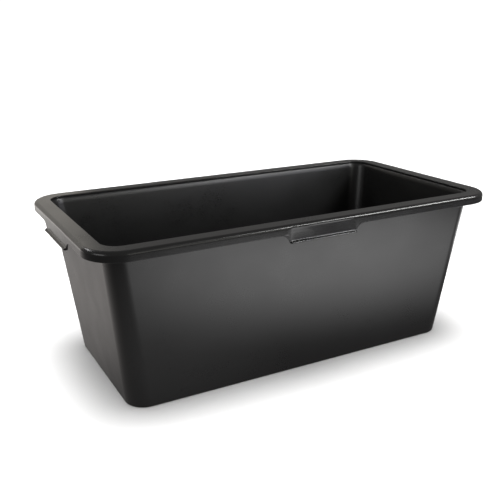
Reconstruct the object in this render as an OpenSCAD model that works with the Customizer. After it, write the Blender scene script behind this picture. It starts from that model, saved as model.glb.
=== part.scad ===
// Rectangular mortar mixing tub in black polyethylene.
//
// The real tub is a single injection moulding. Here it is divided where its shape changes: floor,
// walls, wall corners, the flat land of the rim, the skirt that hangs from the land's outer edge, and
// the hand grips below the skirt. Every region is a closed solid that meets its neighbours face to face.
//
// Millimetres. The origin is at the middle of the base's underside. X runs along the length, the front
// is towards -Y and Z is up.

/* [Overall size] */
// Length over the skirt's outer faces
rim_l = 790; // [760:2:840]
// Width over the skirt's outer faces
rim_w = 424; // [400:2:460]
// Height from the underside to the top of the rim
tub_h = 295; // [240:5:340]

/* [Floor and walls] */
// Length of the base over the outside of the walls
base_l = 663; // [620:1:690]
// Width of the base over the outside of the walls
base_w = 311; // [280:1:330]
// Corner radius of the outside of the walls at the base
base_r = 36; // [25:1:45]
// Thickness of the walls, measured level
wall_t = 2.8; // [2:0.1:4]
// Thickness of the floor, and radius of the edge around its underside
floor_t = 3.6; // [3:0.1:5]
// Radius of the fillet inside, between floor and walls
inner_fillet = 6; // [3:0.5:10]

/* [Rim] */
// Distance from the skirt's outer face to the outside of the wall, at the top
overhang = 28.6; // [22:0.2:29]
// Width of the land, from the skirt's outer face to the tub's mouth
land_w = 30.6; // [30.6:0.2:38]
// Thickness of the land and of the skirt
rim_t = 3; // [2.4:0.1:4]
// Corner radius of the skirt's outer face
rim_r = 60; // [48:1:80]
// Radius of the rounding between land and skirt
rim_round = 7; // [5:0.5:9]
// Radius of the land's edge at the mouth
mouth_round = 1.4; // [0.5:0.1:2]
// Height of the skirt, from the top of the land to its free edge
skirt_h = 17; // [14:0.5:24]
// Depth of the upright band at the mouth, from the top of the land
mouth_h = 5.5; // [5:0.5:10]
// Height of the rounded shoulder between that band and the inner wall
shoulder_h = 9; // [3:0.5:14]

/* [Hand grips] */
// Width of a grip at its ledge
grip_w = 131; // [100:1:160]
// Height of a grip, from the skirt's free edge down to the underside of its ledge
grip_h = 14.2; // [12:0.2:18]
// Distance that the outline flares out at each end, up to the skirt's free edge
grip_flare = 18.6; // [18:0.2:30]
// Distance that the ledge stands out from the skirt's outer face
ledge_out = 4.5; // [2:0.5:8]
// Thickness of the ledge
ledge_t = 3; // [2.5:0.1:5]
// Radius of the ledge's corners, seen from above
ledge_r = 2; // [1:0.5:3]

/* [Hidden] */

// Sides and corners of the tub, as directions from the middle
FRONT = [0, -1];
BACK = [0, 1];
LEFT = [-1, 0];
RIGHT = [1, 0];
FRONT_LEFT = [-1, -1];
FRONT_RIGHT = [1, -1];
BACK_LEFT = [-1, 1];
BACK_RIGHT = [1, 1];

ARC_STEPS = 24;       // facets around a quarter turn of a wall corner
SHOULDER_STEPS = 5;   // facets over the shoulder below the mouth
FILLET_STEPS = 4;     // facets over the inner fillet
EDGE_R = 1;           // radius of the skirt's free edge
CORNER_LEG = 5;       // flat stretch of wall, at the base, that belongs to a corner
$fn = 64;

land_z = tub_h - rim_t;         // underside of the land
mouth_z = tub_h - mouth_h;      // foot of the upright band at the mouth
skirt_z = tub_h - skirt_h;      // free edge of the skirt
grip_z = skirt_z - grip_h;      // underside of the ledges
// Radius of the arc that flares a grip out to the skirt's free edge, which it meets tangentially
flare_r = (grip_flare * grip_flare + grip_h * grip_h) / (2 * grip_h);

// Where the straight walls end and the corners begin, as distances from the middle
corner_x = base_l / 2 - base_r - CORNER_LEG;
corner_y = base_w / 2 - base_r - CORNER_LEG;

POLYETHYLENE = "#2e2e2f";
SMOOTH_RIM = "#353536";
GRIP_TONE = "#29292a";

// A ring is a level rounded rectangle: [half length, half width, corner radius, height]
base_edge = [base_l / 2, base_w / 2, base_r, 0];
rim_edge = [rim_l / 2, rim_w / 2, rim_r, tub_h];

// The outside of the wall at height z, moved inwards by inset
function wall_ring(z, inset = 0) =
    let (k = z / tub_h, top = rim_edge - overhang * [1, 1, 1, 0])
    [each [for (i = [0:2]) base_edge[i] * (1 - k) + top[i] * k - inset], z];

// The upright face of the mouth at height z
function mouth_ring(z) = [each [for (i = [0:2]) rim_edge[i] - land_w], z];

// The shoulder: a quarter of an ellipse from the foot of the mouth's upright face to the inner wall
function shoulder_ring(a) =
    let (z = mouth_z - shoulder_h * (1 - cos(a)))
    mouth_ring(z) * (1 - sin(a)) + wall_ring(z, wall_t) * sin(a);

// The fillet between the inner wall and the floor
function fillet_ring(a) =
    wall_ring(floor_t + inner_fillet * (1 - sin(a)), wall_t + inner_fillet * (1 - cos(a)));

// Cross-section of the walls, as rings: up the outside, over the shoulder and down the inside
wall_section = [
    wall_ring(floor_t),
    wall_ring(land_z),
    mouth_ring(land_z),
    for (i = [0:SHOULDER_STEPS]) shoulder_ring(90 * i / SHOULDER_STEPS),
    for (i = [0:FILLET_STEPS]) fillet_ring(90 * i / FILLET_STEPS)];

// Points of a ring around a corner that lies towards +X and +Y, from the end wall to the long wall
function corner_points(ring) = [
    [ring[0], corner_y, ring[3]],
    for (i = [0:ARC_STEPS])
        let (a = 90 * i / ARC_STEPS)
        [ring[0] - ring[2] * (1 - cos(a)), ring[1] - ring[2] * (1 - sin(a)), ring[3]],
    [corner_x, ring[1], ring[3]]];

// Half sizes of a ring, from the middle to a side
function reach(ring, side) = abs(side[0]) * ring[0] + abs(side[1]) * ring[1];

// Straight stretch of a 2D profile on one side; the profile's X is measured outwards from start
module side_run(side, start, length)
    rotate(atan2(side[1], side[0]))
        translate([start, length / 2, 0])
            rotate([90, 0, 0])
                linear_extrude(length)
                    children();

// The profile along one side of a ring; its X is measured outwards from the corners' centres
module ring_side(side, ring)
    side_run(side, reach(ring, side) - ring[2], 2 * (ring[0] + ring[1] - reach(ring, side) - ring[2]))
        children();

// The same profile around one corner of a ring
module ring_corner(corner, ring)
    translate([corner[0] * (ring[0] - ring[2]), corner[1] * (ring[1] - ring[2]), 0])
        rotate(atan2(corner[1], corner[0]) - 45)
            rotate_extrude(angle = 90)
                children();

// Straight wall on one side, between two corners
module wall(side)
    color(POLYETHYLENE)
        side_run(side, 0, 2 * (abs(side[0]) * corner_y + abs(side[1]) * corner_x))
            polygon([for (ring = wall_section) [reach(ring, side), ring[3]]]);

// Rounded wall corner, with a short leg of flat wall at each end
module wall_corner(corner) {
    columns = [for (ring = wall_section) corner_points(ring)];
    m = len(wall_section);
    n = ARC_STEPS + 3;
    color(POLYETHYLENE)
        mirror([corner[0] < 0 ? 1 : 0, 0, 0])
            mirror([0, corner[1] < 0 ? 1 : 0, 0])
                polyhedron(
                    points = [for (i = [0:n - 1]) for (j = [0:m - 1]) columns[j][i]],
                    faces = [
                        [for (j = [0:m - 1]) j],
                        [for (j = [m - 1:-1:0]) (n - 1) * m + j],
                        for (i = [0:n - 2]) for (j = [0:m - 1])
                            let (k = (j + 1) % m)
                            [i * m + k, i * m + j, (i + 1) * m + j, (i + 1) * m + k]]);
}

// Quarter disc, or quarter ring of the given thickness, in the corner towards +X and +Y
module quarter(r, thickness)
    intersection() {
        difference() {
            circle(r);
            if (thickness < r) circle(r - thickness);
        }
        square(r);
    }

// Profile of the land and its outer rounding
module land_profile() {
    mouth = rim_r - land_w;
    bend = rim_r - rim_round;
    translate([mouth + mouth_round, land_z])
        square([bend - mouth - mouth_round, rim_t]);
    translate([mouth, land_z])
        square([mouth_round, rim_t - mouth_round]);
    translate([mouth + mouth_round, tub_h - mouth_round])
        mirror([1, 0])
            quarter(mouth_round, mouth_round);
    translate([bend, tub_h - rim_round])
        quarter(rim_round, rim_t);
}

// Profile of the skirt below that rounding, with a softened free edge
module skirt_profile()
    translate([rim_r - rim_t, skirt_z]) {
        translate([0, EDGE_R])
            square([rim_t, skirt_h - rim_round - EDGE_R]);
        translate([EDGE_R, 0])
            square([rim_t - 2 * EDGE_R, EDGE_R]);
        translate([EDGE_R, EDGE_R])
            rotate(180)
                quarter(EDGE_R, EDGE_R);
        translate([rim_t - EDGE_R, EDGE_R])
            rotate(-90)
                quarter(EDGE_R, EDGE_R);
    }

module rim_land(side)
    color(SMOOTH_RIM)
        ring_side(side, rim_edge)
            land_profile();

module rim_corner(corner)
    color(SMOOTH_RIM)
        ring_corner(corner, rim_edge)
            land_profile();

module skirt(side)
    color(SMOOTH_RIM)
        ring_side(side, rim_edge)
            skirt_profile();

module skirt_corner(corner)
    color(SMOOTH_RIM)
        ring_corner(corner, rim_edge)
            skirt_profile();

// Outline of a grip's apron, which flares out to the skirt's free edge
module apron_outline() {
    half = grip_w / 2 + grip_flare;
    difference() {
        translate([-half, grip_z])
            square([2 * half, grip_h]);
        for (s = [-1, 1])
            translate([s * half, skirt_z - flare_r])
                circle(flare_r);
    }
}

// Outline of a ledge from above, with its two outer corners rounded; Y is measured out of the skirt
module ledge_outline() {
    half = grip_w / 2;
    translate([-half, -rim_t])
        square([grip_w, rim_t + ledge_out - ledge_r]);
    translate([ledge_r - half, -rim_t])
        square([grip_w - 2 * ledge_r, rim_t + ledge_out]);
    for (s = [-1, 1])
        translate([s * (half - ledge_r), ledge_out - ledge_r])
            circle(ledge_r);
}

// Hand grip below the skirt on one side: an apron in line with the skirt, and a ledge along its foot
module grip(side)
    color(GRIP_TONE)
        rotate(atan2(side[1], side[0]) - 90)
            translate([0, reach(rim_edge, side), 0]) {
                rotate([90, 0, 0])
                    linear_extrude(rim_t)
                        apron_outline();
                translate([0, 0, grip_z])
                    linear_extrude(ledge_t)
                        ledge_outline();
            }

// Quarter round at the edge of the floor's underside
module floor_edge_profile()
    translate([base_r - floor_t, floor_t])
        rotate(-90)
            quarter(floor_t, floor_t);

// Floor, with a rounded edge around its underside
module floor_panel()
    color(POLYETHYLENE) {
        cx = base_l / 2 - base_r;
        cy = base_w / 2 - base_r;
        r = base_r - floor_t;
        linear_extrude(floor_t) {
            square([2 * (cx + r), 2 * cy], center = true);
            square([2 * cx, 2 * (cy + r)], center = true);
        }
        for (side = [FRONT, BACK, LEFT, RIGHT])
            ring_side(side, base_edge)
                floor_edge_profile();
        for (corner = [FRONT_LEFT, FRONT_RIGHT, BACK_LEFT, BACK_RIGHT])
            ring_corner(corner, base_edge) {
                square([r, floor_t]);
                floor_edge_profile();
            }
    }

floor_panel();
wall(FRONT);  // front_wall
wall(BACK);  // back_wall
wall(LEFT);  // left_wall
wall(RIGHT);  // right_wall
wall_corner(FRONT_LEFT);  // front_left_corner
wall_corner(FRONT_RIGHT);  // front_right_corner
wall_corner(BACK_LEFT);  // back_left_corner
wall_corner(BACK_RIGHT);  // back_right_corner
rim_land(FRONT);  // front_rim_land
rim_land(BACK);  // back_rim_land
rim_land(LEFT);  // left_rim_land
rim_land(RIGHT);  // right_rim_land
rim_corner(FRONT_LEFT);  // front_left_rim_corner
rim_corner(FRONT_RIGHT);  // front_right_rim_corner
rim_corner(BACK_LEFT);  // back_left_rim_corner
rim_corner(BACK_RIGHT);  // back_right_rim_corner
skirt(FRONT);  // front_skirt
skirt(BACK);  // back_skirt
skirt(LEFT);  // left_skirt
skirt(RIGHT);  // right_skirt
skirt_corner(FRONT_LEFT);  // front_left_skirt_corner
skirt_corner(FRONT_RIGHT);  // front_right_skirt_corner
skirt_corner(BACK_LEFT);  // back_left_skirt_corner
skirt_corner(BACK_RIGHT);  // back_right_skirt_corner
grip(FRONT);  // front_grip
grip(BACK);  // back_grip
grip(LEFT);  // left_grip
grip(RIGHT);  // right_grip
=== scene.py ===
"""Looks of a rectangular mortar mixing tub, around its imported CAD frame. Metres, +Z up, front towards -Y.

The tub is one moulding, so its visible pieces are cut from one gridded surface. Stations run
anticlockwise round the tub, and at every station the same section of points runs over floor, wall and
rim. Each piece replaces the CAD node of its own region, is closed where it meets its neighbours, and
keeps the shared surface's normals, so that the joints between pieces don't show.
"""

import math

import bpy
import numpy as np
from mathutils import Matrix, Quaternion, Vector


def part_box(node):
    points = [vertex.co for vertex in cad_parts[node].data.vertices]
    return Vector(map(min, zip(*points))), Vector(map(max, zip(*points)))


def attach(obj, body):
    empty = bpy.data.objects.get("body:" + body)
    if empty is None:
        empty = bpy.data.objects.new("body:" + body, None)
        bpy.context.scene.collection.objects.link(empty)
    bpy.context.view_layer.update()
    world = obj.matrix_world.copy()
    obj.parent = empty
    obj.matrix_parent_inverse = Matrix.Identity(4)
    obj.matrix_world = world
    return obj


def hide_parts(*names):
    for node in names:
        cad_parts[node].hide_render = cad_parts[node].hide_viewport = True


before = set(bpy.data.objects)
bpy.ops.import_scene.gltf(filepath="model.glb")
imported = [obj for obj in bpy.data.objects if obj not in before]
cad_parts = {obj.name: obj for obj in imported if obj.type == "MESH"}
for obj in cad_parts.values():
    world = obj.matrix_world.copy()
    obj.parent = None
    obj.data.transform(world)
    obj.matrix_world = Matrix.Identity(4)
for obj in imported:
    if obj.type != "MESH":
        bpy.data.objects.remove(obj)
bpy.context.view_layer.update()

MM = 0.001


# ---------------------------------------------------------------- sizes, from the CAD frame

def low(node, axis):
    """A node's lowest coordinate on an axis."""
    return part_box(node)[0][axis]


def high(node, axis):
    """A node's highest coordinate on an axis."""
    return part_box(node)[1][axis]


X, Y, Z = 0, 1, 2

TOP = high("front_rim_land", Z)
RIM_HALF = np.array([high("right_skirt", X), high("back_skirt", Y)])
RIM_R = high("back_right_rim_corner", X) - low("back_right_rim_corner", X)
RIM_ROUND = TOP - high("front_skirt", Z)
LAND_W = RIM_HALF[1] + high("front_rim_land", Y)
RIM_T = high("right_skirt", X) - low("right_skirt", X)
LAND_Z = high("front_wall", Z)
SKIRT_Z = low("front_skirt", Z)
GRIP_Z = low("front_grip", Z)
FLARE_HALF = high("front_grip", X)
LEDGE_OUT = -low("front_grip", Y) - RIM_HALF[1]
FLOOR_T = high("floor_panel", Z)
BASE_HALF = np.array([high("floor_panel", X), high("floor_panel", Y)])
CUT = np.array([high("front_wall", X), high("right_wall", Y)])
WALL_TOP_HALF = np.array([high("right_wall", X), high("back_wall", Y)])

# Sizes that no box of the frame gives
BASE_R = 36 * MM
WALL_TOP_R = 31.4 * MM
WALL_T = 2.8 * MM
INNER_FILLET = 6 * MM
UNDER_FILLET = 1.6 * MM        # between the wall and the land's underside
MOUTH_ROUND = 1.4 * MM
MOUTH_H = 5.5 * MM
SHOULDER_H = 9 * MM
EDGE_R = 1 * MM                # the skirt's free edge
LEDGE_T = 3 * MM
LEDGE_R = 2 * MM               # the ledge's corners from above
LEDGE_FILLET = 2.4 * MM        # between the apron and the ledge
GRIP_HALF = 65.5 * MM          # half the width of a ledge
EDGE_BAND = 1.5 * MM           # band of skirt above the free edge, where grips are joined on
FOOT_FILL = 0.8                # share of the room below the band that a plain foot's points may take
SHOULDER_EDGE = 0.4 * MM       # upright edge above the shoulder
UNDERSIDE_INSETS = (30 * MM, 8 * MM)      # from the underside's rounded edge inwards, to rings of points
INSIDE_INSETS = (10 * MM, 24 * MM)        # the same on the floor's upper face

FLARE = FLARE_HALF - GRIP_HALF
FLARE_DROP = SKIRT_Z - GRIP_Z
FLARE_R = (FLARE**2 + FLARE_DROP**2) / (2 * FLARE_DROP)
BAND_Z = SKIRT_Z + EDGE_BAND


# ---------------------------------------------------------------- stations round the tub

# Sides in anticlockwise order, as (name, outward direction, direction along the side)
SIDES = [
    ("front", np.array([0, -1]), np.array([1, 0])),
    ("right", np.array([1, 0]), np.array([0, 1])),
    ("back", np.array([0, 1]), np.array([-1, 0])),
    ("left", np.array([-1, 0]), np.array([0, -1])),
]
CORNERS = ["front_right", "back_right", "back_left", "front_left"]   # the corner after each side
ARC_STEPS = 24
FLARE_STEPS = 10
LEDGE_STEPS = 4
CORE_PITCH = 32 * MM           # usual spacing of stations along a side
END_FACE = 0.03 * MM           # distance along the side in which a ledge ends
TINY = 1e-9

# Ridges left by the mould's inserts on a skirt, as distances along the side
PARTING_LINES = {"front": [-320 * MM, -115 * MM, 200 * MM], "back": [-115 * MM, 200 * MM]}
PARTING_HALF = 1.6 * MM
PARTING_HEIGHT = 0.16 * MM

# The shallow dish in a grip's face: distance along the side, depth at its foot and depth below the rim, in
# mm. Towards the rim, the inner slope ends nearer to the dish's left end.
DISH = [(-77, 0.0, 0.0), (-71, -0.28, -0.28), (-66, 0.1, 0.1), (-61, 1.35, 0.7), (-57, 1.5, 0.7),
        (-20, 0.6, 0.5), (-15, 0.3, 1.0), (50, 0.3, 1.0), (59, 0.1, 0.3), (63, 0.0, 0.0),
        (66, -0.15, -0.15), (70, 0.0, 0.0)]
DISH_LEAN = 16 * MM
DISH_LEANS = (-50 * MM, 0.0)   # stretch of the side where the slope's end leans
DISH_LEAN_END = 8 * MM         # stretch in which the lean dies away
DISH_PITCH = 4 * MM            # spacing of stations in the stretch that leans
DISH_FOOT_SHARE = 0.3          # share of the face's height at the upper edge of the band
DISH_FADE = 0.4                # share of the rim's rounding in which the dish and the ridges die away
DISH_SHARE = {"front": 1.0, "back": 1.0, "left": 0.25, "right": 0.25}


class Station:
    """One place round the tub, on a side at a distance from its middle, or on a corner's arc.

    A ring's point there is fixed + scale * straight + out * radius, where straight is half the length of
    the ring's straight stretches.
    """

    def __init__(self, fixed, scale, out, side=None, distance=0.0):
        self.fixed = fixed
        self.scale = scale
        self.out = out
        self.side = side
        self.distance = distance


def grip_stops():
    """Distances along a side at which a grip needs a station."""
    half = [0.0]
    half += [GRIP_HALF - LEDGE_R + LEDGE_R * math.sin(math.radians(90 * i / LEDGE_STEPS))
             for i in range(LEDGE_STEPS + 1)]
    half += [GRIP_HALF + END_FACE]
    steepest = math.asin(FLARE / FLARE_R)
    half += [FLARE_HALF - FLARE_R * math.sin(steepest * (1 - i / FLARE_STEPS))
             for i in range(1, FLARE_STEPS + 1)]
    dish = [x * MM for x, _, _ in DISH]
    first, last = DISH_LEANS
    lean = [first + DISH_PITCH * i for i in range(int((last - first) / DISH_PITCH) + 1)]
    stops = set(half) | {-h for h in half} | set(dish)
    return sorted(stops | {x for x in lean if min(abs(x - d) for d in dish) > 1 * MM})


def side_stops(name, half):
    """Every distance along the straight stretch of a side at the rim, from -half to half."""
    stops = grip_stops()
    for x in PARTING_LINES.get(name, []):
        stops += [x - PARTING_HALF, x, x + PARTING_HALF]
    steps = math.ceil(2 * half / CORE_PITCH)
    for i in range(steps + 1):
        x = -half + 2 * half * i / steps
        if min(abs(x - s) for s in stops) > CORE_PITCH / 4 or i in (0, steps):
            stops.append(x)
    return sorted(stops)


def make_stations():
    """The stations, and the index at which each side's straight and core stretches begin and end."""
    stations, marks = [], {}
    for i, (name, out, along) in enumerate(SIDES):
        cut = float(abs(along) @ CUT)
        straight = float(abs(along) @ (RIM_HALF - RIM_R))
        stops = sorted(set(side_stops(name, straight)) | {-cut, cut})
        marks[name, "straight"] = len(stations)
        for distance in stops:
            if abs(distance) <= cut + TINY:
                if abs(distance + cut) < TINY:
                    marks[name, "core"] = len(stations)
                if abs(distance - cut) < TINY:
                    marks[name, "core_end"] = len(stations)
                stations.append(Station(along * distance, out, out, name, distance))
            else:
                share = (abs(distance) - cut) / (straight - cut)
                sign = math.copysign(1, distance)
                fixed = along * sign * cut * (1 - share)
                stations.append(Station(fixed, out + along * sign * share, out, name, distance))
        marks[name, "straight_end"] = len(stations) - 1
        after = SIDES[(i + 1) % len(SIDES)][1]
        for step in range(1, ARC_STEPS):
            angle = math.radians(90 * step / ARC_STEPS)
            turned = out * math.cos(angle) + after * math.sin(angle)
            stations.append(Station(np.zeros(2), out + after, turned))
    return stations, marks


STATIONS, MARKS = make_stations()
FIXED = np.array([s.fixed for s in STATIONS], float)
SCALE = np.array([s.scale for s in STATIONS], float)
OUT = np.array([s.out for s in STATIONS], float)
DISTANCE = np.array([s.distance for s in STATIONS])
ON_SIDE = np.array([s.side is not None for s in STATIONS])
DISH_DEPTH = np.array([DISH_SHARE.get(s.side, 0.0) for s in STATIONS])


# ---------------------------------------------------------------- the section at every station

class Section:
    """Points of the section, each an array over the stations. Some points have a name."""

    def __init__(self):
        self.points = []
        self.marks = {}

    def add(self, half, radius, offset, z):
        """A point on the ring with these half sizes and corner radius, moved outwards by offset."""
        z = np.broadcast_to(z, len(STATIONS))
        offset = np.broadcast_to(offset, len(STATIONS))
        flat = FIXED + SCALE * (half - radius) + OUT * (radius + offset)[:, None]
        self.points.append(np.column_stack([flat, z]))

    def mark(self, name):
        """Name the point that was added last."""
        self.marks[name] = len(self.points) - 1


def wall_ring(z):
    """Half sizes and corner radius of the wall's outside at height z."""
    share = z / LAND_Z
    radius = BASE_R * (1 - share) + WALL_TOP_R * share
    return BASE_HALF * (1 - share) + WALL_TOP_HALF * share, radius


def steps(n, first=0):
    """Shares from first / n to 1."""
    return [i / n for i in range(first, n + 1)]


def quarter(share):
    """Sine and cosine of a share of a quarter turn."""
    return math.sin(share * math.pi / 2), math.cos(share * math.pi / 2)


def free_edge():
    """Height of the skirt's or apron's free edge at every station."""
    edge = np.full(len(STATIONS), SKIRT_Z)
    side = abs(DISTANCE)
    flare = ON_SIDE & (side < FLARE_HALF) & (side > GRIP_HALF)
    lift = np.sqrt(np.clip(FLARE_R**2 - (FLARE_HALF - side) ** 2, 0, None))
    edge = np.where(flare, SKIRT_Z - FLARE_R + lift, edge)
    return np.where(ON_SIDE & (side <= GRIP_HALF), GRIP_Z, edge)


def ledge_reach():
    """How far the ledge stands out of the skirt's face at every station, or nothing."""
    from_end = np.clip(abs(DISTANCE) - (GRIP_HALF - LEDGE_R), 0, LEDGE_R)
    rounded = LEDGE_OUT - LEDGE_R + np.sqrt(LEDGE_R**2 - from_end**2)
    return np.where(ON_SIDE & (abs(DISTANCE) <= GRIP_HALF + TINY), rounded, 0.0)


def dish_depth(rise=0.0):
    """Depth of the dish in a grip's face at every station, at a share of the face's height."""
    first, last = DISH_LEANS
    towards = np.interp(DISTANCE, [first, last - DISH_LEAN_END, last], [0, 1, 0]) * DISH_LEAN * rise
    stops, foot, top = np.array(DISH).T * MM
    at = np.interp(DISTANCE + towards, stops, foot * (1 - rise) + top * rise)
    return at * DISH_DEPTH


def parting():
    """Height of the parting ridges on the skirt at every station."""
    height = np.zeros(len(STATIONS))
    for i, s in enumerate(STATIONS):
        for x in PARTING_LINES.get(s.side, []):
            if abs(s.distance - x) < TINY:
                height[i] = PARTING_HEIGHT
    return height


def lower_band(section):
    """The skirt's or apron's foot, from the inner face round to the outer: plain, or with a ledge."""
    edge, reach, dish = free_edge(), ledge_reach(), dish_depth()
    near = near_band(edge)
    has_ledge = reach > 0
    bull = LEDGE_T / 2
    plain, ledged = [], []
    for share in steps(4, 1):                                  # down the inner face
        plain.append((-RIM_T, BAND_Z + (edge + EDGE_R - BAND_Z) * share))
    for share in steps(3, 1):                                  # inner rounding
        sin, cos = quarter(share)
        plain.append((-RIM_T + EDGE_R * (1 - cos), edge + EDGE_R * (1 - sin)))
    ledged += plain
    plain.append((-EDGE_R, edge))
    ledged.append((reach - bull, edge))
    for share in steps(8, 1):                                  # round the ledge's nose
        sin, cos = quarter(2 * share)
        ledged.append((reach - bull + bull * sin, edge + bull * (1 - cos)))
        sin, cos = quarter(min(1, 2 * share))
        rise = max(0.0, 2 * share - 1) * (LEDGE_T - EDGE_R)
        plain.append((-EDGE_R + EDGE_R * sin, edge + EDGE_R * (1 - cos) + rise * near))
    for i, share in enumerate(steps(3)):                       # fillet up to the apron
        sin, cos = quarter(share)
        ledged.append((-dish + LEDGE_FILLET * (1 - sin), edge + LEDGE_T + LEDGE_FILLET * (1 - cos)))
        plain.append((0, edge + EDGE_R + (LEDGE_T - EDGE_R) * near + LEDGE_FILLET * (i + 1) / 4 * near))
    for (o1, z1), (o2, z2) in zip(plain, ledged):
        offset = np.where(has_ledge, o2, o1)
        z = np.where(has_ledge, z2, z1)
        section.add(RIM_HALF, RIM_R, offset, z)


def near_band(edge):
    """Share of the height of ledge and fillet that a plain foot has room for below the band."""
    room = BAND_Z - edge - EDGE_R
    return np.clip(FOOT_FILL * room / (LEDGE_T - EDGE_R + LEDGE_FILLET), 0, 1)


def make_section():
    """The section, from the floor's underside out to the wall, over the rim, and back in to the floor."""
    section = Section()
    ridge = parting()
    for inset in UNDERSIDE_INSETS:                             # underside of the floor
        half, radius = wall_ring(0)
        section.add(half, radius, -FLOOR_T - inset, 0)
    for share in steps(6):                                     # rounded edge around it
        sin, cos = quarter(share)
        half, radius = wall_ring(FLOOR_T * (1 - cos))
        section.add(half, radius, -FLOOR_T * (1 - sin), FLOOR_T * (1 - cos))
    section.mark("floor_out")
    wall_end = LAND_Z - UNDER_FILLET
    for share in steps(12, 1):                                 # outside of the wall
        z = FLOOR_T + (wall_end - FLOOR_T) * share
        section.add(*wall_ring(z), 0, z)
    section.mark("wall_out")
    for share in steps(4, 1):                                  # fillet below the land
        sin, cos = quarter(share)
        z = LAND_Z - UNDER_FILLET * (1 - sin)
        section.add(*wall_ring(z), UNDER_FILLET * (1 - cos), z)
    section.add(RIM_HALF, RIM_R, -(RIM_ROUND + LAND_W) / 2, LAND_Z)
    for share in steps(6):                                     # inner bend
        sin, cos = quarter(share)
        bend = RIM_ROUND - RIM_T
        section.add(RIM_HALF, RIM_R, -RIM_ROUND + bend * sin, TOP - RIM_ROUND + bend * cos)
    section.mark("bend_in")
    for share in steps(3, 1):                                  # inner face of the skirt
        section.add(RIM_HALF, RIM_R, -RIM_T, TOP - RIM_ROUND + (BAND_Z - TOP + RIM_ROUND) * share)
    section.mark("band_in")
    lower_band(section)
    section.add(RIM_HALF, RIM_R, -dish_depth(DISH_FOOT_SHARE), BAND_Z)
    section.mark("band_out")
    for share in steps(4, 1):                                  # outer face
        z = BAND_Z + (TOP - RIM_ROUND - BAND_Z) * share
        rise = DISH_FOOT_SHARE + (1 - DISH_FOOT_SHARE) * share
        section.add(RIM_HALF, RIM_R, ridge - dish_depth(rise), z)
    section.mark("bend_out")
    top_dish = dish_depth(1.0)
    for share in steps(12, 1):                                 # outer rounding, over the dish's top
        sin, cos = quarter(share)
        over = max(0.0, 1 - share / DISH_FADE) ** 2
        section.add(RIM_HALF, RIM_R, (ridge - top_dish) * over - RIM_ROUND * (1 - cos),
                    TOP - RIM_ROUND * (1 - sin))
    for share in steps(4, 1):                                  # top of the land
        section.add(RIM_HALF, RIM_R, -RIM_ROUND - (LAND_W - MOUTH_ROUND - RIM_ROUND) * share, TOP)
    for share in steps(5, 1):                                  # edge of the mouth
        sin, cos = quarter(share)
        section.add(RIM_HALF, RIM_R, -LAND_W + MOUTH_ROUND * (1 - sin), TOP - MOUTH_ROUND * (1 - cos))
    section.add(RIM_HALF, RIM_R, -LAND_W, LAND_Z)
    section.mark("mouth")
    foot = TOP - MOUTH_H
    section.add(RIM_HALF, RIM_R, -LAND_W, foot + SHOULDER_EDGE)
    for share in steps(10):                                    # shoulder, a quarter of an ellipse
        sin, cos = quarter(share)
        z = foot - SHOULDER_H * (1 - cos)
        half, radius = wall_ring(z)
        inner = (half - WALL_T) * sin + (RIM_HALF - LAND_W) * (1 - sin)
        inner_r = (radius - WALL_T) * sin + (RIM_R - LAND_W) * (1 - sin)
        section.add(inner, inner_r, 0, z)
    low_z = FLOOR_T + INNER_FILLET
    for share in steps(12, 1):                                 # inside of the wall
        z = foot - SHOULDER_H + (low_z - foot + SHOULDER_H) * share
        half, radius = wall_ring(z)
        section.add(half, radius, -WALL_T, z)
    for share in steps(6, 1):                                  # fillet to the floor
        sin, cos = quarter(share)
        z = FLOOR_T + INNER_FILLET * (1 - sin)
        half, radius = wall_ring(z)
        section.add(half, radius, -WALL_T - INNER_FILLET * (1 - cos), z)
    section.mark("floor_in")
    for inset in INSIDE_INSETS:                                # top of the floor
        half, radius = wall_ring(FLOOR_T)
        section.add(half, radius, -WALL_T - INNER_FILLET - inset, FLOOR_T)
    return section


SECTION = make_section()
GRID = np.stack(SECTION.points, axis=1)        # station, section point, xyz
N_STATIONS, N_POINTS, _ = GRID.shape


def grid_normals():
    """Area-weighted normals of the whole surface, which every piece shares."""
    after = np.roll(GRID, -1, axis=0)
    across = after[:, 1:] - GRID[:, :-1]
    back = GRID[:, 1:] - after[:, :-1]
    faces = np.cross(across, back)
    total = np.zeros_like(GRID)
    for shift in (0, 1):
        turned = np.roll(faces, shift, axis=0)
        total[:, :-1] += turned
        total[:, 1:] += turned
    total[:, 0] = (0, 0, -1)
    total[:, -1] = (0, 0, 1)
    return total / np.maximum(np.linalg.norm(total, axis=2, keepdims=True), 1e-12)


NORMALS = grid_normals()


# ---------------------------------------------------------------- pieces

def run(first, last):
    """Section points from one mark or number to another."""
    return list(range(SECTION.marks.get(first, first), SECTION.marks.get(last, last) + 1))


BLOCKS = {
    "floor": run(0, "floor_out") + run("floor_in", N_POINTS - 1),
    "wall": run("floor_out", "wall_out") + run("mouth", "floor_in"),
    "land": run("wall_out", "bend_in") + run("bend_out", "mouth"),
    "skirt": run("bend_in", "band_in") + run("band_out", "bend_out"),
    "foot": run("band_in", "band_out"),
}


def toggle(faces, corners, surface):
    """Add a face, or take it away if it is there: a face that comes twice lies inside the piece."""
    key = frozenset(corners)
    if key in faces:
        del faces[key]
    else:
        faces[key] = (corners, surface)


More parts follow.
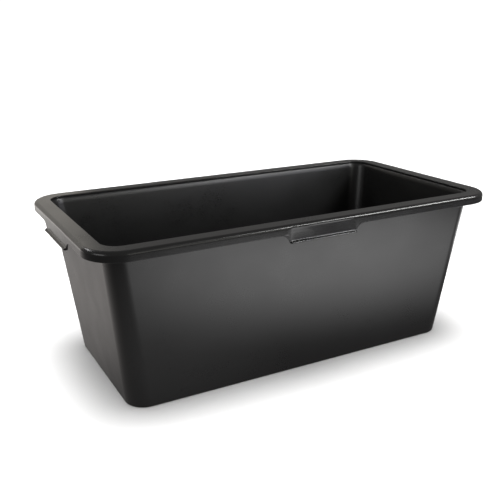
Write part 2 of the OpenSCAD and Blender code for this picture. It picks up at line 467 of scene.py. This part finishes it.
def block_faces(block, first, last):
    """Faces of a block of the section swept over stations, as {vertex set: (vertices, is surface)}."""
    loop = BLOCKS[block]
    faces = {}
    whole = (last - first) % N_STATIONS == 0
    for step in range((last - first) % N_STATIONS or N_STATIONS):
        a = (first + step) % N_STATIONS
        b = (a + 1) % N_STATIONS
        for i, j in zip(loop, loop[1:] + loop[:1]):
            if whole and (i, j) == (N_POINTS - 1, 0):
                continue
            toggle(faces, [(a, i), (b, i), (b, j), (a, j)], j == i + 1)
    if whole:                                                  # the middle of the floor's two faces
        toggle(faces, [(s, 0) for s in range(N_STATIONS)][::-1], True)
        toggle(faces, [(s, N_POINTS - 1) for s in range(N_STATIONS)], True)
    else:
        a, b = first % N_STATIONS, last % N_STATIONS
        toggle(faces, [(a, i) for i in loop], False)
        toggle(faces, [(b, i) for i in reversed(loop)], False)
    return faces


def make_piece(name, node, parts, material):
    """A closed piece made of swept blocks, which stands for a CAD node."""
    faces = {}
    for part in parts:
        for corners, surface in block_faces(*part).values():
            toggle(faces, corners, surface)
    used = sorted({corner for corners, _ in faces.values() for corner in corners})
    index = {corner: k for k, corner in enumerate(used)}
    mesh = bpy.data.meshes.new(name)
    mesh.from_pydata([GRID[c] for c in used], [], [[index[c] for c in f] for f, _ in faces.values()])
    mesh.update()
    normals = []
    for (corners, surface), polygon in zip(faces.values(), mesh.polygons):
        flat = tuple(polygon.normal)
        normals += [tuple(NORMALS[c]) if surface else flat for c in corners]
    mesh.polygons.foreach_set("use_smooth", [True] * len(mesh.polygons))
    mesh.normals_split_custom_set(normals)
    mesh.materials.append(material)
    piece = bpy.data.objects.new(name, mesh)
    bpy.context.scene.collection.objects.link(piece)
    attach(piece, "root")
    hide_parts(node)
    return piece


def station_at(side, distance):
    """Index of the station on a side that is nearest to this distance along it."""
    first, last = MARKS[side, "straight"], MARKS[side, "straight_end"]
    return min(range(first, last + 1), key=lambda i: abs(DISTANCE[i] - distance))


def make_tub(materials):
    """Every piece of the tub, as a list."""
    wall, rim, hand = (materials[k] for k in ("wall_plastic", "rim_plastic", "grip_plastic"))
    made = [make_piece("floor_shell", "floor_panel", [("floor", 0, 0)], wall)]
    for i, (side, _, _) in enumerate(SIDES):
        after = SIDES[(i + 1) % len(SIDES)][0]
        corner = CORNERS[i]
        straight, straight_end = MARKS[side, "straight"], MARKS[side, "straight_end"]
        core, core_end = MARKS[side, "core"], MARKS[side, "core_end"]
        grip, grip_end = station_at(side, -FLARE_HALF), station_at(side, FLARE_HALF)
        next_straight, next_core = MARKS[after, "straight"], MARKS[after, "core"]
        made += [
            make_piece(f"{side}_wall_shell", f"{side}_wall", [("wall", core, core_end)], wall),
            make_piece(f"{corner}_corner_shell", f"{corner}_corner", [("wall", core_end, next_core)], wall),
            make_piece(f"{side}_land_shell", f"{side}_rim_land", [("land", straight, straight_end)], rim),
            make_piece(f"{corner}_land_bend", f"{corner}_rim_corner",
                       [("land", straight_end, next_straight)], rim),
            make_piece(f"{side}_skirt_shell", f"{side}_skirt",
                       [("skirt", straight, straight_end), ("foot", straight, grip),
                        ("foot", grip_end, straight_end)], rim),
            make_piece(f"{corner}_skirt_bend", f"{corner}_skirt_corner",
                       [("skirt", straight_end, next_straight), ("foot", straight_end, next_straight)], rim),
            make_piece(f"{side}_grip_shell", f"{side}_grip", [("foot", grip, grip_end)], hand),
        ]
    return made


# ---------------------------------------------------------------- materials

# Base grey and roughness in each slot
LOOKS = {"wall_plastic": (0.010, 0.31), "rim_plastic": (0.011, 0.23), "grip_plastic": (0.010, 0.22)}

# Scales are in cycles per metre, and depths are the bumps' distances
CLOUD_SCALE, CLOUD_SPREAD = 9, 0.15       # flow clouds in the colour
GLOSS_SCALE, GLOSS_SPREAD = 14, 0.03      # slow changes of the roughness
SPECK_SCALE, SPECK_SPREAD = 900, 0.03     # fine changes of the roughness
GRAIN_SCALE, GRAIN_STRENGTH, GRAIN_DEPTH = 1500, 0.12, 0.12 * MM
WAVE_SCALE, WAVE_STRENGTH, WAVE_DEPTH = 7, 0.25, 0.6 * MM
NOISE_LOW, NOISE_HIGH = 0.3, 0.7           # range that most of a noise lies in


def polyethylene(name, grey, roughness):
    """Black polyethylene as moulded: fine grain, flow clouds, uneven gloss and slight waves."""
    material = bpy.data.materials.new(name)
    material.use_nodes = True
    tree = material.node_tree
    nodes, links = tree.nodes, tree.links
    shader = nodes["Principled BSDF"]
    place = nodes.new("ShaderNodeTexCoord")

    def noise(scale, detail):
        node = nodes.new("ShaderNodeTexNoise")
        node.inputs["Scale"].default_value = scale
        node.inputs["Detail"].default_value = detail
        links.new(place.outputs["Object"], node.inputs["Vector"])
        return node.outputs["Fac"]

    def ranged(value, lowest, highest):
        node = nodes.new("ShaderNodeMapRange")
        node.inputs["From Min"].default_value = NOISE_LOW
        node.inputs["From Max"].default_value = NOISE_HIGH
        node.inputs["To Min"].default_value = lowest
        node.inputs["To Max"].default_value = highest
        links.new(value, node.inputs["Value"])
        return node.outputs["Result"]

    mix = nodes.new("ShaderNodeMix")
    mix.data_type = "RGBA"
    mix.inputs["A"].default_value = (*[grey * (1 - CLOUD_SPREAD)] * 3, 1)
    mix.inputs["B"].default_value = (*[grey * (1 + CLOUD_SPREAD)] * 3, 1)
    links.new(noise(CLOUD_SCALE, 4), mix.inputs["Factor"])
    links.new(mix.outputs["Result"], shader.inputs["Base Color"])

    add = nodes.new("ShaderNodeMath")
    add.operation = "ADD"
    slow = ranged(noise(GLOSS_SCALE, 5), roughness - GLOSS_SPREAD, roughness + GLOSS_SPREAD)
    links.new(slow, add.inputs[0])
    links.new(ranged(noise(SPECK_SCALE, 2), -SPECK_SPREAD, SPECK_SPREAD), add.inputs[1])
    links.new(add.outputs["Value"], shader.inputs["Roughness"])

    grain = nodes.new("ShaderNodeBump")
    grain.inputs["Strength"].default_value = GRAIN_STRENGTH
    grain.inputs["Distance"].default_value = GRAIN_DEPTH
    links.new(noise(GRAIN_SCALE, 3), grain.inputs["Height"])
    wave = nodes.new("ShaderNodeBump")
    wave.inputs["Strength"].default_value = WAVE_STRENGTH
    wave.inputs["Distance"].default_value = WAVE_DEPTH
    links.new(noise(WAVE_SCALE, 1), wave.inputs["Height"])
    links.new(grain.outputs["Normal"], wave.inputs["Normal"])
    links.new(wave.outputs["Normal"], shader.inputs["Normal"])
    shader.inputs["IOR"].default_value = 1.5
    return material


# ---------------------------------------------------------------- studio

# Softboxes: centre, the point they face, width and height, and radiance
LIGHTS = {
    "key_strip": ((1.75, -1.5, 1.75), (0, 0, 0.25), (1.5, 0.2), (45, 45, 44.5)),
    "front_strip": ((2.2, -2.2, 0.4), (0, 0, 0.2), (2.2, 0.7), (3.0, 3.0, 3.3)),
    "middle_box": ((1.5, -2.5, 1.1), (0, 0, 0.2), (1.2, 0.8), (4.6, 4.6, 4.8)),
    "left_box": ((-2.7, -0.75, 1.0), (0, 0, 0.2), (1.4, 1.0), (2.0, 2.0, 2.0)),
    "back_box": ((-0.7, 2.8, 1.0), (0, 0, 0.2), (2.4, 1.6), (0.49, 0.46, 0.41)),
    "front_box": ((0.7, -2.8, 0.8), (0, 0, 0.2), (1.4, 1.0), (1.1, 1.1, 1.0)),
    "back_strip": ((-1.3, 1.9, 2.1), (0, 0, 0.25), (1.5, 0.25), (10, 10, 10)),
}
NOT_ON_LAND = ["front_strip", "middle_box"]    # seen from behind, they would glare on the flat land
# Glowing cards with soft edges, just above the floor: centre, half sizes and radiance
SOFT_CARDS = {
    "front_card": ((0.28, -0.60), (0.72, 0.42), (2.9, 2.9, 2.9)),
    "front_left_card": ((-0.3, -0.34), (0.45, 0.27), (0.22, 0.22, 0.22)),
    "near_left_card": ((-0.6, 0.42), (0.5, 0.78), (0.54, 0.51, 0.49)),
    "left_card": ((-1.0, 1.55), (0.9, 1.0), (1.5, 1.45, 1.38)),
    "far_left_card": ((-2.0, 3.1), (1.8, 1.7), (1.85, 1.66, 1.6)),
    "back_card": ((0.2, 0.68), (0.65, 0.46), (2.6, 2.6, 2.6)),
    "right_card": ((0.95, 0.25), (0.42, 0.62), (2.2, 2.2, 2.2)),
}
CARD_EDGE = 0.7                    # share of a card's radius over which it fades
CARD_PITCH = 1 * MM                # each card lies this much above the one before
FIRST_CARD = 2 * MM                # the lowest card's height over the floor
# Glow of the world, for rays that rise, for rays that sink more steeply than DIP, and mixed in between
AMBIENT = (0.225, 0.22, 0.215)
UNDER = (0.13, 0.125, 0.125)
DIP = -0.2                         # upward part of a ray's unit direction
FLOOR_HALF, FLOOR_COLOUR = 12.0, 0.8
ROOM_RADIUS, ROOM_GLOW = 11.5, 1.1
# Even light from straight above, on the floor alone: irradiance and width in degrees
FLOOR_LIGHTS = {"overhead": (3.4, 30), "sky": (2.3, 170)}


def area_light(name, place, aim, size, radiance, receivers):
    """A rectangular light of this radiance. The camera doesn't see the light itself."""
    strength = max(radiance)
    data = bpy.data.lights.new(name, "AREA")
    data.shape = "RECTANGLE"
    data.size, data.size_y = size
    data.energy = strength * math.pi * size[0] * size[1]
    data.color = [c / strength for c in radiance]
    light = bpy.data.objects.new(name, data)
    light.location = place
    light.rotation_mode = "QUATERNION"
    light.rotation_quaternion = (Vector(aim) - Vector(place)).to_track_quat("-Z", "Y")
    light.visible_camera = False
    light.light_linking.receiver_collection = receivers
    bpy.context.scene.collection.objects.link(light)


def square(name, half):
    """A flat square mesh that faces up, with this half width."""
    mesh = bpy.data.meshes.new(name)
    corners = [(-half, -half, 0), (half, -half, 0), (half, half, 0), (-half, half, 0)]
    mesh.from_pydata(corners, [], [(0, 1, 2, 3)])
    return mesh


def soft_card(name, centre, height, half, radiance, receivers):
    """A glowing sheet just above the floor that fades towards its edges. The camera doesn't see it."""
    mesh = square(name, 1)
    material = bpy.data.materials.new(name)
    material.use_nodes = True
    tree = material.node_tree
    tree.nodes.clear()
    place = tree.nodes.new("ShaderNodeTexCoord")
    blob = tree.nodes.new("ShaderNodeTexGradient")
    blob.gradient_type = "SPHERICAL"
    fade = tree.nodes.new("ShaderNodeMapRange")
    fade.interpolation_type = "SMOOTHSTEP"
    fade.inputs["From Max"].default_value = CARD_EDGE
    fade.inputs["To Max"].default_value = max(radiance)
    glow = tree.nodes.new("ShaderNodeEmission")
    glow.inputs["Color"].default_value = (*[c / max(radiance) for c in radiance], 1)
    clear = tree.nodes.new("ShaderNodeBsdfTransparent")        # lets the light of other cards through
    both = tree.nodes.new("ShaderNodeAddShader")
    out = tree.nodes.new("ShaderNodeOutputMaterial")
    tree.links.new(place.outputs["Object"], blob.inputs["Vector"])
    tree.links.new(blob.outputs["Fac"], fade.inputs["Value"])
    tree.links.new(fade.outputs["Result"], glow.inputs["Strength"])
    tree.links.new(glow.outputs["Emission"], both.inputs[0])
    tree.links.new(clear.outputs["BSDF"], both.inputs[1])
    tree.links.new(both.outputs["Shader"], out.inputs["Surface"])
    mesh.materials.append(material)
    card = bpy.data.objects.new(name, mesh)
    card.location = (*centre, height)
    card.scale = (*half, 1)
    card.visible_camera = card.visible_shadow = card.visible_diffuse = False
    card.light_linking.receiver_collection = receivers
    bpy.context.scene.collection.objects.link(card)


def only_for_camera(thing):
    """A stage piece that the camera sees, and that neither lights the tub nor shows in its gloss."""
    thing.visible_diffuse = thing.visible_glossy = thing.visible_transmission = False
    thing.visible_shadow = False


def stage_material(name, colour, glow):
    """A matt grey that also glows in white."""
    material = bpy.data.materials.new(name)
    material.use_nodes = True
    shader = material.node_tree.nodes["Principled BSDF"]
    shader.inputs["Base Color"].default_value = (colour, colour, colour, 1)
    shader.inputs["Roughness"].default_value = 1
    shader.inputs["Specular IOR Level"].default_value = 0
    shader.inputs["Emission Color"].default_value = (1, 1, 1, 1)
    shader.inputs["Emission Strength"].default_value = glow
    return material


def make_stage():
    """A pale floor, evenly lit from above, in a white room."""
    mesh = square("studio_floor", FLOOR_HALF)
    mesh.materials.append(stage_material("studio_floor", FLOOR_COLOUR, 0))
    floor = bpy.data.objects.new("studio_floor", mesh)
    bpy.context.scene.collection.objects.link(floor)
    only_for_camera(floor)
    receivers = bpy.data.collections.new("floor_only")
    receivers.objects.link(floor)
    for name, (irradiance, angle) in FLOOR_LIGHTS.items():
        data = bpy.data.lights.new(name, "SUN")
        data.energy = irradiance
        data.angle = math.radians(angle)
        light = bpy.data.objects.new(name, data)
        light.light_linking.receiver_collection = receivers
        bpy.context.scene.collection.objects.link(light)

    bpy.ops.mesh.primitive_uv_sphere_add(segments=48, ring_count=24, radius=ROOM_RADIUS)
    room = bpy.context.object
    room.name = room.data.name = "studio_room"
    room.data.materials.append(stage_material("studio_room", 0.0, ROOM_GLOW))
    only_for_camera(room)


def make_lights(pieces):
    """Lights and cards on the tub alone, because the floor has lights of its own, and the world's glow."""
    receivers = bpy.data.collections.new("tub_only")
    without_land = bpy.data.collections.new("tub_without_land")
    for piece in pieces:
        receivers.objects.link(piece)
        if "_land_" not in piece.name:
            without_land.objects.link(piece)
    for name, (place, aim, size, radiance) in LIGHTS.items():
        lit = without_land if name in NOT_ON_LAND else receivers
        area_light(name, place, aim, size, radiance, lit)
    for i, (name, (centre, half, radiance)) in enumerate(SOFT_CARDS.items()):
        soft_card(name, centre, FIRST_CARD + i * CARD_PITCH, half, radiance, receivers)
    world = bpy.data.worlds.new("studio")
    world.use_nodes = True
    tree = world.node_tree
    place = tree.nodes.new("ShaderNodeTexCoord")
    split = tree.nodes.new("ShaderNodeSeparateXYZ")
    above = tree.nodes.new("ShaderNodeMapRange")
    above.inputs["From Min"].default_value = DIP
    above.inputs["From Max"].default_value = 0.0
    mix = tree.nodes.new("ShaderNodeMix")
    mix.data_type = "RGBA"
    mix.inputs["A"].default_value = (*UNDER, 1)
    mix.inputs["B"].default_value = (*AMBIENT, 1)
    tree.links.new(place.outputs["Generated"], split.inputs["Vector"])
    tree.links.new(split.outputs["Z"], above.inputs["Value"])
    tree.links.new(above.outputs["Result"], mix.inputs["Factor"])
    tree.links.new(mix.outputs["Result"], tree.nodes["Background"].inputs["Color"])
    bpy.context.scene.world = world


def make_camera():
    """The photograph's view: its direction, its distance and its lens."""
    azimuth, elevation, roll = math.radians(-28.19), math.radians(17.18), math.radians(-0.47)
    distance, target = 1.552, Vector((0.060, 0.1626, 0.150))
    back = Vector((math.sin(azimuth) * math.cos(elevation),
                   -math.cos(azimuth) * math.cos(elevation),
                   math.sin(elevation)))
    data = bpy.data.cameras.new("camera")
    data.lens = 50.65
    data.sensor_width = 36
    data.clip_start, data.clip_end = 0.05, 60
    camera = bpy.data.objects.new("camera", data)
    camera.location = target + back * distance
    camera.rotation_mode = "QUATERNION"
    camera.rotation_quaternion = (-back).to_track_quat("-Z", "Y") @ Quaternion((0, 0, 1), roll)
    bpy.context.scene.collection.objects.link(camera)
    bpy.context.scene.camera = camera


make_camera()
make_stage()
bpy.context.scene.view_settings.view_transform = "Standard"
tub = make_tub({slot: polyethylene(slot, grey, roughness) for slot, (grey, roughness) in LOOKS.items()})
make_lights(tub)
